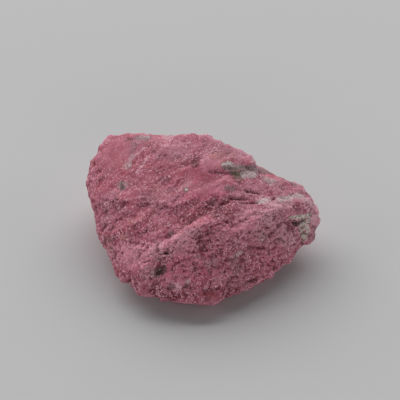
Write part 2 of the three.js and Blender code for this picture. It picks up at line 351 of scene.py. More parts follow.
def buildRelief(shape):
    # a node group that gives the smoothed stone its relief
    tree = bpy.data.node_groups.new("stoneRelief", "GeometryNodeTree")
    newSocket(tree, "Geometry", "NodeSocketGeometry")
    newSocket(tree, "Geometry", "NodeSocketGeometry", "OUTPUT")
    geometry = addNode(tree, "NodeGroupInput").outputs[0]
    streak = buildStreak("cutStreak", "GeometryNodeTree")
    position = addNode(tree, "GeometryNodeInputPosition").outputs[0]
    normal = addNode(tree, "GeometryNodeInputNormal").outputs[0]
    point = stretched(tree, position, perMetre)
    steepness = spread(tree, parted(tree, normal)[2], *shape["steepness"])

    lumps = shape["lumps"]
    hackle = shape["hackle"]
    sugar = shape["sugar"]
    lumpNoise = clouds(tree, point, lumps["size"], detail=3)
    streaky = alongGrain(tree, point, hackle["stretch"])
    hackleNoise = clouds(tree, streaky, hackle["size"], detail=3, warp=0.3)
    sugarNoise = clouds(tree, point, sugar["size"], detail=1)
    hackled = swing(tree, hackleNoise.outputs[0], hackle["rise"])
    hackleLeft = maths(tree, "MULTIPLY_ADD", steepness, -hackle["lostOnSteep"], 1.0)
    fine = combined(tree, "ADD", [
        facets(tree, point, shape["chips"]),
        maths(tree, "MULTIPLY", hackled, hackleLeft),
        swing(tree, sugarNoise.outputs[0], sugar["rise"]),
        pitted(tree, point, shape["pits"]),
    ])
    broad = combined(tree, "ADD", [
        swing(tree, lumpNoise.outputs[0], lumps["rise"]),
        facets(tree, point, shape["breaks"]),
        hairlines(tree, point, shape["hairlines"]),
    ])

    # level faces and calm places are the smoother ones
    gain = shape["steepShare"] - shape["levelShare"]
    steep = maths(tree, "MULTIPLY_ADD", steepness, gain, shape["levelShare"])
    rough = combined(tree, "MAXIMUM", markMasks(tree, streak, point, roughPlaces, usualPlace))
    calm = combined(tree, "MAXIMUM", markMasks(tree, streak, point, calmPlaces, usualPlace))
    share = maths(tree, "MULTIPLY_ADD", rough, shape["roughGain"], steep)
    calmLoss = shape["calmLoss"]
    fineShare = maths(tree, "MULTIPLY", share, maths(tree, "MULTIPLY_ADD", calm, -calmLoss["fine"], 1.0))
    broadShare = maths(tree, "MULTIPLY", share, maths(tree, "MULTIPLY_ADD", calm, -calmLoss["broad"], 1.0))
    coarse = maths(tree, "MULTIPLY_ADD", calm, -calmLoss["grains"], share)
    relief = maths(tree, "MULTIPLY_ADD", fine, fineShare, maths(tree, "MULTIPLY", broad, broadShare))
    for cut, mask in zip(cuts, markMasks(tree, streak, point, cuts, usualCut)):
        relief = maths(tree, "MULTIPLY_ADD", mask, -cut["deep"], relief)

    # the relief dies out towards the resting face, which stays flat, and nothing sinks into the ground
    fade = spread(tree, parted(tree, point)[2], *shape["footFade"], soft=True)
    faded = maths(tree, "MULTIPLY", relief, fade)
    softRelief = blurred(tree, faded, shape["softenRounds"], "FLOAT", "VALUE")
    offset = stretched(tree, normal, maths(tree, "MULTIPLY", softRelief, 1 / perMetre))
    moved = addNode(tree, "GeometryNodeSetPosition", {"Geometry": geometry, "Offset": offset})
    reached = addNode(tree, "GeometryNodeInputPosition").outputs[0]
    above = vectorMaths(tree, "MAXIMUM", reached, (-1.0, -1.0, 0.0))
    kept = addNode(tree, "GeometryNodeSetPosition", {"Geometry": moved.outputs[0], "Position": above})
    geometry = keepValue(tree, kept.outputs[0], "coarse", coarse)
    geometry = keepValue(tree, geometry, "hollowFine", hollowness(tree, shape["fineRounds"]))
    geometry = keepValue(tree, geometry, "hollowBroad", hollowness(tree, shape["broadRounds"]))
    addNode(tree, "NodeGroupOutput", {"Geometry": geometry})
    return tree


def makeStone(shape):
    piece = bpy.data.objects.new("stoneBody", solid.data.copy())
    bpy.context.scene.collection.objects.link(piece)
    piece.select_set(True)
    bpy.context.view_layer.objects.active = piece
    bpy.ops.object.mode_set(mode="EDIT")
    bpy.ops.mesh.select_all(action="SELECT")
    bpy.ops.mesh.remove_doubles(threshold=shape["weld"] / perMetre)
    bpy.ops.mesh.subdivide(number_cuts=shape["cuts"], quadcorner="INNERVERT")
    bpy.ops.object.mode_set(mode="OBJECT")
    rounding = piece.modifiers.new("rounding", "SMOOTH")
    rounding.factor = 0.5
    rounding.iterations = shape["smoothRounds"]
    relief = piece.modifiers.new("relief", "NODES")
    relief.node_group = buildRelief(shape)
    for modifier in list(piece.modifiers):
        bpy.ops.object.modifier_apply(modifier=modifier.name)
    bpy.ops.object.shade_smooth()
    piece.select_set(False)
    return piece


stone = makeStone(stoneShape)
print("stone shaped:", len(stone.data.vertices), "points,", len(stone.data.polygons), "faces")


# The stone's mineral.

def paint(red, green, blue):
    # a colour as painters mix it, 0 to 255, made linear for the shader
    def channel(value):
        share = value / 255
        return share / 12.92 if share <= 0.04045 else ((share + 0.055) / 1.055) ** 2.4
    return (channel(red), channel(green), channel(blue), 1.0)


mineral = {
    "rose": paint(201, 113, 131),
    "dusty": paint(190, 132, 144),
    "deepRose": paint(190, 91, 109),
    "brightRose": paint(224, 126, 148),
    "hotPink": paint(240, 126, 154),
    "palePink": paint(221, 146, 168),
    "palest": paint(244, 186, 202),
    "maroon": paint(134, 47, 60),
    "darkMaroon": paint(97, 32, 41),
    "white": paint(222, 212, 210),
    "greyWhite": paint(213, 190, 193),
    "grey": paint(146, 122, 126),
    "greenGrey": paint(136, 120, 115),
    "greenWhite": paint(226, 224, 208),
    "olive": paint(112, 106, 84),
    "beige": paint(206, 134, 130),
    "brown": paint(108, 76, 76),
    "nearBlack": paint(50, 42, 42),
}

# The rock between its marks. A range gives two values of a noise, and the strengths there if not 0 and 1.
rock = {
    "drift": {"size": 16, "stretch": 1.8, "range": (0.38, 0.64)},
    "layers": {"size": 2.6, "stretch": 2.6, "pale": (0.54, 0.76, 0, 0.55), "dark": (0.46, 0.28, 0, 0.60)},
    "mottle": {"size": 2.4, "range": (0.50, 0.36, 0, 0.6), "coarse": (0.4, 1.0)},
}
veils = [
    {"colour": "dusty", "size": 7, "stretch": 1.4, "shift": (31, 7, 11), "range": (0.52, 0.70, 0, 0.55)},
    {"colour": "beige", "size": 8, "stretch": 1.6, "shift": (5, 41, 17), "range": (0.56, 0.72, 0, 0.30)},
]

# Sugary grains. Each has its own number from 0 to 1: near 1 it is paler than the rock, and near 0 darker.
# The palest small grains are partly painted glints.
grains = {
    "coarse": {"size": 0.95, "from": 0.62, "pale": ("palePink", 0.26), "dark": ("maroon", 0.34)},
    # the palest of these small grains are partly painted glints, light caught on the crystals
    "small": {"size": 0.42, "from": 0.74, "pale": ("palest", 1.05), "dark": ("darkMaroon", 0.75)},
    "fullAt": 0.96,                       # the number of the palest grains
    "bend": {"size": 0.9, "reach": 0.6, "stretch": 1.3},
    "clumps": {"size": 3.6, "range": (0.34, 0.66, 0.5, 1.4)},
    "onCoarse": (0.0, 1.2, 0.36, 1.45),   # fewer where the surface broke smooth
    "underPatch": 0.85,                   # how far a patch hides them
    "patchShade": (0.6, 0.7),             # a patch's own grains: the darkest, and how much paler they get
}

# What the fine shape does to the colour, by how hollow it is in millimetres, and how the surface shines.
finish = {
    # painted shade: fine and broad hollows are darkened, partly as dark dust
    "fineHollowShade": (0.02, 0.16, 0, 0.55),
    "broadHollowShade": (0.15, 0.9, 0, 0.5),
    "bruise": (-0.03, -0.14, 0, 0.3),
    "roughness": (0.5, 0.85),
    "specular": 0.3,
    "bump": {"size": 0.35, "grainShare": 0.5, "strength": 0.35, "height": 0.15},
}

# Where the rock's own colour drifts, and where light and shade are painted in: soft places.
tones = [
    {"colour": "rose", "at": (-0.73, 0.62, 0.77), "width": 7.0, "much": 0.6},
    {"colour": "deepRose", "at": (0.00, 0.09, 0.84), "width": 6.0, "much": 0.6},
    {"colour": "palePink", "at": (0.19, 0.38, 0.93), "to": (-0.10, 0.48, 0.94), "width": 6.5, "much": 0.15},
    {"colour": "brightRose", "at": (0.08, 0.22, 0.90), "width": 3.5, "much": 0.7},
    {"colour": "dusty", "at": (-0.32, 0.53, 0.88), "to": (-0.19, 0.51, 0.89), "width": 5.0},
    {"colour": "palePink", "at": (-0.18, 0.53, 0.89), "width": 5.0, "much": 0.35},
    {"colour": "maroon", "at": (-0.54, 0.18, 0.72), "width": 3.0, "much": 0.25},
    {"colour": "maroon", "at": (-0.33, 0.28, 0.80), "width": 3.2, "much": 0.3},
    {"colour": "maroon", "at": (-0.40, -0.05, 0.70), "to": (-0.44, -0.20, 0.66), "width": 2.2, "much": 0.35},
    {"colour": "palePink", "at": (-0.78, 0.10, 0.59), "width": 3.0, "much": 0.65},
    {"colour": "palePink", "at": (-0.23, -0.08, 0.73), "to": (-0.16, -0.28, 0.70), "width": 2.2,
     "much": 0.35},
    {"colour": "dusty", "at": (0.22, 0.48, 0.94), "width": 6.0, "much": 0.6},
    {"colour": "maroon", "at": (-0.07, 0.32, 0.90), "width": 2.8, "much": 0.65},
    {"colour": "palePink", "at": (-0.33, -0.14, 0.70), "width": 3.0, "much": 0.7},
    {"colour": "hotPink", "at": (-0.11, -0.04, 0.78), "to": (0.08, -0.06, 0.80), "width": 2.6},
    {"colour": "palePink", "at": (0.34, 0.00, 0.77), "to": (0.42, 0.03, 0.77), "width": 3.5, "much": 0.65},
    {"colour": "maroon", "at": (0.02, -0.22, 0.74), "to": (0.40, -0.12, 0.75), "width": 3.2, "much": 0.3},
    {"colour": "palePink", "at": (0.62, 0.14, 0.73), "to": (0.43, 0.12, 0.79), "width": 3.4, "much": 0.4},
    # painted shade: a dark band on the step behind the front rib
    {"colour": "maroon", "at": (-0.43, -0.43, 0.57), "to": (-0.14, -0.36, 0.69), "width": 3.6, "much": 0.6},
    {"colour": "maroon", "at": (-0.62, 0.40, 0.77), "to": (-0.12, 0.36, 0.87), "width": 3.0, "much": 0.2},
    # painted shade: the dark band behind the rib, going on to the right
    {"colour": "maroon", "at": (-0.14, -0.34, 0.69), "to": (0.15, -0.22, 0.75), "width": 3.0},
    # painted light: the whole front face made brighter, standing in for light from the front
    {"colour": "brightRose", "at": (-0.40, -0.66, 0.42), "to": (0.62, -0.42, 0.42), "width": 11.0},
    # painted light: the right shoulder and nose made paler, as if lit more from the right
    {"colour": "palest", "at": (0.50, -0.20, 0.62), "to": (0.85, 0.00, 0.52), "width": 11.0, "much": 0.18},
    # painted light: the lit crest of the front rib, made paler
    {"colour": "palest", "at": (-0.10, -0.54, 0.66), "to": (-0.44, -0.62, 0.47), "width": 3.2, "much": 0.45},
    {"colour": "brightRose", "at": (0.06, -0.45, 0.72), "to": (-0.02, -0.50, 0.69), "width": 2.6},
    {"colour": "palePink", "at": (0.36, -0.32, 0.70), "to": (0.60, -0.20, 0.66), "width": 5.0, "much": 0.6},
    {"colour": "palePink", "at": (0.70, 0.04, 0.66), "width": 6.5, "much": 0.25},
    {"colour": "palePink", "at": (0.86, 0.19, 0.63), "width": 4.0, "much": 0.4},
    # painted light: the right end of the nose made paler
    {"colour": "palest", "at": (0.95, 0.03, 0.50), "to": (0.97, -0.03, 0.40), "width": 4.0, "much": 0.75},
    {"colour": "palePink", "at": (0.58, -0.24, 0.64), "to": (0.76, -0.24, 0.42), "width": 4.0, "much": 0.55},
    {"colour": "palest", "at": (0.74, -0.31, 0.35), "width": 3.0, "much": 0.75},
    {"colour": "palest", "at": (0.72, -0.23, 0.46), "width": 4.0},
    {"colour": "palePink", "at": (0.85, -0.12, 0.44), "width": 3.5, "much": 0.3},
    {"colour": "brightRose", "at": (-0.72, -0.45, 0.29), "width": 3.5},
    {"colour": "palest", "at": (-0.62, -0.54, 0.40), "width": 5.0, "much": 0.3},
    {"colour": "brightRose", "at": (-0.62, -0.55, 0.37), "width": 6.0, "much": 0.6},
    {"colour": "brightRose", "at": (-0.14, -0.78, 0.40), "width": 6.0},
    {"colour": "greyWhite", "at": (-0.29, 0.74, 0.88), "width": 2.5, "much": 0.45},
    {"colour": "palePink", "at": (0.03, 0.66, 0.95), "width": 3.5, "much": 0.4},
    {"colour": "brightRose", "at": (0.10, -0.60, 0.50), "width": 5.0},
    {"colour": "grey", "at": (0.25, -0.64, 0.46), "to": (0.30, -0.70, 0.36), "width": 4.5, "much": 0.2},
    {"colour": "grey", "at": (0.50, -0.40, 0.54), "to": (0.66, -0.28, 0.48), "width": 4.0, "much": 0.35},
    {"colour": "palePink", "at": (-0.25, -0.86, 0.30), "width": 2.5},
    # painted shade: these darken the lower edge, where the stone turns under
    {"colour": "darkMaroon", "at": (-0.68, -0.58, 0.24), "to": (-0.36, -0.88, 0.19), "width": 3.2,
     "much": 0.4},
    {"colour": "darkMaroon", "at": (-0.25, -0.93, 0.13), "to": (0.35, -0.78, 0.1), "width": 4.0},
    {"colour": "darkMaroon", "at": (0.67, -0.46, 0.20), "width": 3.5},
    {"colour": "darkMaroon", "at": (-0.37, -0.88, 0.21), "to": (-0.20, -0.93, 0.22), "width": 2.4},
    {"colour": "maroon", "at": (0.38, -0.58, 0.40), "width": 3.0, "much": 0.35},
    {"colour": "maroon", "at": (0.00, -0.26, 0.72), "to": (0.12, -0.20, 0.75), "width": 2.8},
    {"colour": "darkMaroon", "at": (0.14, -0.22, 0.75), "to": (0.11, -0.33, 0.76), "width": 2.6,
     "much": 0.75},
    {"colour": "darkMaroon", "at": (0.15, -0.31, 0.76), "to": (0.27, -0.30, 0.74), "width": 2.0,
     "much": 0.45},
    {"colour": "hotPink", "at": (0.04, 0.24, 0.91), "to": (0.17, 0.26, 0.90), "width": 3.2, "much": 0.55},
    {"colour": "palest", "at": (0.04, 0.25, 0.91), "to": (0.13, 0.28, 0.91), "width": 3.0, "much": 0.25},
    {"colour": "brightRose", "at": (-0.06, 0.16, 0.85), "width": 3.0, "much": 0.55},
    {"colour": "palest", "at": (-0.05, -0.52, 0.69), "to": (-0.02, -0.53, 0.61), "width": 2.4},
    {"colour": "palest", "at": (0.22, -0.40, 0.70), "to": (0.41, -0.28, 0.70), "width": 3.0, "much": 0.45},
    {"colour": "palest", "at": (-0.22, -0.58, 0.62), "to": (-0.13, -0.60, 0.60), "width": 2.8, "much": 0.45},
    {"colour": "palest", "at": (-0.76, -0.40, 0.29), "width": 3.2, "much": 0.45},
    {"colour": "palest", "at": (-0.56, -0.55, 0.43), "width": 3.2, "much": 0.45},
    {"colour": "hotPink", "at": (-0.06, -0.74, 0.42), "width": 4.0, "much": 0.7},
    {"colour": "palest", "at": (0.07, -0.66, 0.43), "width": 2.6, "much": 0.45},
    {"colour": "hotPink", "at": (0.08, -0.66, 0.43), "to": (0.21, -0.78, 0.26), "width": 2.8, "much": 0.55},
    {"colour": "palePink", "at": (-0.23, -0.86, 0.31), "width": 3.0, "much": 0.6},
    {"colour": "palest", "at": (0.24, -0.75, 0.26), "width": 2.8, "much": 0.45},
    {"colour": "palePink", "at": (0.38, -0.69, 0.26), "width": 2.8, "much": 0.6},
    {"colour": "palePink", "at": (0.74, -0.19, 0.47), "width": 2.4},
    {"colour": "palest", "at": (0.68, 0.16, 0.70), "width": 2.6, "much": 0.3},
    {"colour": "palest", "at": (0.36, 0.45, 0.90), "width": 3.5, "much": 0.4},
    {"colour": "dusty", "at": (0.08, 0.41, 0.95), "width": 5.0},
    {"colour": "greyWhite", "at": (0.57, -0.08, 0.69), "to": (0.72, -0.03, 0.66), "width": 2.6, "much": 0.3},
    {"colour": "greyWhite", "at": (-0.13, 0.10, 0.81), "width": 2.2, "much": 0.25},
    # painted light: the right end of the nose made paler
    {"colour": "palest", "at": (0.92, 0.04, 0.54), "width": 4.0, "much": 0.6},
    {"colour": "palePink", "at": (0.07, 0.61, 0.99), "width": 3.0},
    {"colour": "palest", "at": (0.55, -0.26, 0.65), "width": 2.8, "much": 0.55},
    {"colour": "palest", "at": (0.35, -0.52, 0.48), "width": 2.6, "much": 0.35},
    # painted light: brightens a small step wall that lies in shade
    {"colour": "hotPink", "at": (0.13, -0.04, 0.80), "width": 3.2, "much": 0.55},
    {"colour": "palePink", "at": (0.20, -0.54, 0.60), "to": (0.44, -0.42, 0.60), "width": 3.2, "much": 0.45},
    {"colour": "maroon", "at": (-0.45, -0.28, 0.63), "to": (-0.10, -0.30, 0.70), "width": 7.0, "much": 0.1},
    {"colour": "dusty", "at": (-0.50, 0.00, 0.70), "to": (0.12, 0.03, 0.81), "width": 3.0, "much": 0.35},
    {"colour": "hotPink", "at": (-0.64, -0.53, 0.40), "to": (-0.50, -0.58, 0.44), "width": 5.5},
    {"colour": "palest", "at": (-0.66, -0.50, 0.38), "to": (-0.52, -0.57, 0.44), "width": 4.0, "much": 0.25},
    {"colour": "hotPink", "at": (-0.20, -0.76, 0.42), "width": 5.0},
    {"colour": "palePink", "at": (0.02, -0.62, 0.50), "to": (0.20, -0.56, 0.54), "width": 5.0, "much": 0.25},
    {"colour": "palest", "at": (-0.47, -0.72, 0.35), "width": 2.6, "much": 0.45},
    {"colour": "maroon", "at": (-0.50, 0.19, 0.74), "to": (-0.23, 0.27, 0.83), "width": 2.4, "much": 0.3},
    {"colour": "maroon", "at": (-0.14, -0.20, 0.73), "to": (-0.05, -0.17, 0.74), "width": 2.2, "much": 0.35},
    {"colour": "maroon", "at": (-0.17, -0.46, 0.70), "width": 2.4},
    {"colour": "maroon", "at": (-0.58, -0.42, 0.47), "width": 2.4, "much": 0.35},
    {"colour": "darkMaroon", "at": (-0.43, -0.58, 0.51), "width": 1.6, "much": 0.3},
    {"colour": "maroon", "at": (-0.09, -0.57, 0.62), "width": 1.6},
    # painted shade: darkens the lower edge
    {"colour": "darkMaroon", "at": (-0.56, -0.77, 0.24), "width": 3.0},
    {"colour": "darkMaroon", "at": (-0.36, -0.88, 0.24), "width": 2.6, "much": 0.6},
    {"colour": "maroon", "at": (0.48, -0.13, 0.71), "to": (0.60, -0.13, 0.67), "width": 1.8, "much": 0.45},
    {"colour": "maroon", "at": (0.88, -0.16, 0.29), "width": 2.2, "much": 0.45},
    {"colour": "maroon", "at": (0.72, -0.38, 0.30), "width": 3.0, "much": 0.45},
    # painted shade: darkens the lower edge
    {"colour": "darkMaroon", "at": (0.14, -0.96, 0.18), "width": 2.0, "much": 0.4},
    {"colour": "maroon", "at": (-0.38, -0.05, 0.72), "width": 1.8},
    {"colour": "maroon", "at": (0.14, -0.27, 0.76), "to": (0.30, -0.21, 0.76), "width": 2.4, "much": 0.55},
    {"colour": "brightRose", "at": (0.21, -0.42, 0.69), "to": (0.41, -0.30, 0.69), "width": 3.0,
     "much": 0.8},
    {"colour": "brightRose", "at": (-0.25, -0.60, 0.58), "to": (-0.08, -0.61, 0.58), "width": 3.5,
     "much": 0.6},
    # painted light: brightens the foot of the same shaded step wall
    {"colour": "palest", "at": (0.08, -0.13, 0.72), "width": 2.0, "much": 0.6},
    {"colour": "palest", "at": (-0.37, -0.59, 0.53), "width": 2.6, "much": 0.45},
    {"colour": "palest", "at": (-0.07, -0.74, 0.43), "width": 3.0, "much": 0.35},
    {"colour": "palest", "at": (0.13, -0.73, 0.39), "to": (0.21, -0.78, 0.28), "width": 2.6, "much": 0.4},
    {"colour": "palest", "at": (0.68, -0.30, 0.44), "width": 3.0, "much": 0.4},
    {"colour": "palest", "at": (0.36, -0.31, 0.70), "width": 2.4, "much": 0.35},
    {"colour": "palest", "at": (-0.17, -0.61, 0.60), "width": 2.8, "much": 0.35},
    {"colour": "palest", "at": (0.58, -0.23, 0.65), "width": 2.6, "much": 0.35},
    {"colour": "maroon", "at": (-0.67, -0.58, 0.28), "width": 3.0, "much": 0.3},
    {"colour": "maroon", "at": (-0.57, -0.46, 0.46), "width": 2.4, "much": 0.25},
    {"colour": "hotPink", "at": (-0.13, -0.71, 0.47), "to": (0.18, -0.69, 0.42), "width": 5.0, "much": 0.35},
    # painted shade: darkens the lower edge
    {"colour": "maroon", "at": (-0.41, -0.88, 0.22), "to": (-0.16, -0.93, 0.23), "width": 2.2},
]
usualTone = {"ragged": 0.35, "lumps": 5.0, "edge": 0.7, "much": 0.5}

# Grains and small pits filled with darker or paler rock, and painted shade along the cracks.
spots = [
    {"colour": "darkMaroon", "at": (-0.66, 0.76, 0.82), "to": (-0.60, 0.76, 0.84), "width": 0.8},
    {"colour": "palest", "at": (-0.46, 0.50, 0.82), "to": (-0.56, 0.31, 0.76), "width": 0.7, "much": 0.6},
    {"colour": "palest", "at": (-0.57, 0.54, 0.80), "to": (-0.50, 0.62, 0.84), "width": 0.5, "much": 0.65},
    {"colour": "palePink", "at": (-0.31, 0.60, 0.89), "width": 1.5, "much": 0.5},
    {"colour": "maroon", "at": (-0.32, 0.46, 0.86), "width": 0.8, "much": 0.8},
    {"colour": "maroon", "at": (-0.38, 0.30, 0.80), "width": 0.9, "much": 0.8},
    {"colour": "darkMaroon", "at": (-0.33, 0.17, 0.79), "to": (-0.28, 0.17, 0.80), "width": 1.5,
     "much": 0.65},
    {"colour": "maroon", "at": (-0.16, 0.32, 0.86), "width": 2.2, "lumps": 1.0, "ragged": 0.8, "much": 0.6},
    {"colour": "beige", "at": (0.13, 0.23, 0.90), "to": (0.25, 0.38, 0.92), "width": 1.1, "much": 0.45},
    {"colour": "beige", "at": (-0.38, 0.09, 0.75), "width": 1.8, "much": 0.4},
    {"colour": "beige", "at": (-0.59, -0.23, 0.57), "width": 1.8, "much": 0.4},
    {"colour": "beige", "at": (-0.68, -0.32, 0.46), "to": (-0.62, -0.37, 0.47), "width": 1.1, "much": 0.6},
    {"colour": "darkMaroon", "at": (-0.83, 0.00, 0.50), "width": 0.9},
    {"colour": "nearBlack", "at": (-0.80, -0.06, 0.50), "width": 0.5, "much": 0.9},
    {"colour": "brown", "at": (-0.80, 0.04, 0.54), "to": (-0.65, -0.03, 0.60), "width": 2.4, "ragged": 0.9,
     "much": 0.35},
    {"colour": "darkMaroon", "at": (-0.73, -0.15, 0.52), "width": 0.8},
    {"colour": "darkMaroon", "at": (-0.61, -0.28, 0.54), "width": 0.7},
    {"colour": "darkMaroon", "at": (-0.10, -0.18, 0.73), "width": 0.7},
    {"colour": "darkMaroon", "at": (0.04, -0.49, 0.67), "width": 0.9, "much": 0.5},
    {"colour": "darkMaroon", "at": (0.00, -0.59, 0.54), "width": 1.1, "much": 0.5},
    {"colour": "darkMaroon", "at": (0.10, -0.61, 0.47), "to": (0.13, -0.60, 0.51), "width": 1.2,
     "much": 0.6},
    {"colour": "darkMaroon", "at": (0.63, -0.27, 0.56), "width": 0.6, "much": 0.8},
    {"colour": "maroon", "at": (0.80, -0.02, 0.62), "width": 1.2, "much": 0.6},
    {"colour": "maroon", "at": (0.76, -0.19, 0.44), "width": 1.7},
    {"colour": "palest", "at": (0.04, -0.68, 0.42), "to": (0.10, -0.65, 0.44), "width": 1.2, "ragged": 1.0,
     "much": 0.75},
    {"colour": "palest", "at": (-0.05, -0.64, 0.50), "width": 0.8, "much": 0.6},
    # painted shade: dark lines along the cuts above, the shade inside the cracks and under the small steps
    {"colour": "darkMaroon", "at": (0.37, 0.01, 0.77), "to": (0.48, 0.01, 0.74), "width": 0.5, "much": 0.8},
    {"colour": "darkMaroon", "at": (0.23, -0.11, 0.78), "to": (0.36, -0.08, 0.75), "width": 0.6,
     "ragged": 1.0, "much": 0.55},
    {"colour": "darkMaroon", "at": (0.31, -0.15, 0.76), "to": (0.46, -0.10, 0.72), "width": 0.5},
    {"colour": "maroon", "at": (0.06, -0.20, 0.73), "to": (0.21, -0.14, 0.77), "width": 1.4, "ragged": 1.0,
     "much": 0.6},
    {"colour": "maroon", "at": (0.07, 0.18, 0.88), "to": (0.28, 0.17, 0.86), "width": 0.6, "ragged": 1.0,
     "much": 0.55},
    {"colour": "darkMaroon", "at": (0.39, -0.51, 0.49), "to": (0.52, -0.46, 0.43), "width": 0.5,
     "much": 0.8},
    {"colour": "darkMaroon", "at": (0.35, -0.74, 0.22), "to": (0.45, -0.68, 0.20), "width": 0.8,
     "much": 0.8},
    {"colour": "darkMaroon", "at": (0.04, -0.49, 0.70), "to": (-0.04, -0.53, 0.65), "width": 1.2,
     "much": 0.4},
    {"colour": "maroon", "at": (0.20, -0.31, 0.76), "to": (0.28, -0.25, 0.75), "width": 0.9, "ragged": 0.4,
     "much": 0.75},
    {"colour": "maroon", "at": (0.21, -0.37, 0.72), "to": (0.26, -0.33, 0.73), "width": 0.8, "ragged": 0.4},
]
usualSpot = {"ragged": 0.7, "lumps": 0.9, "edge": 0.4, "much": 0.7}

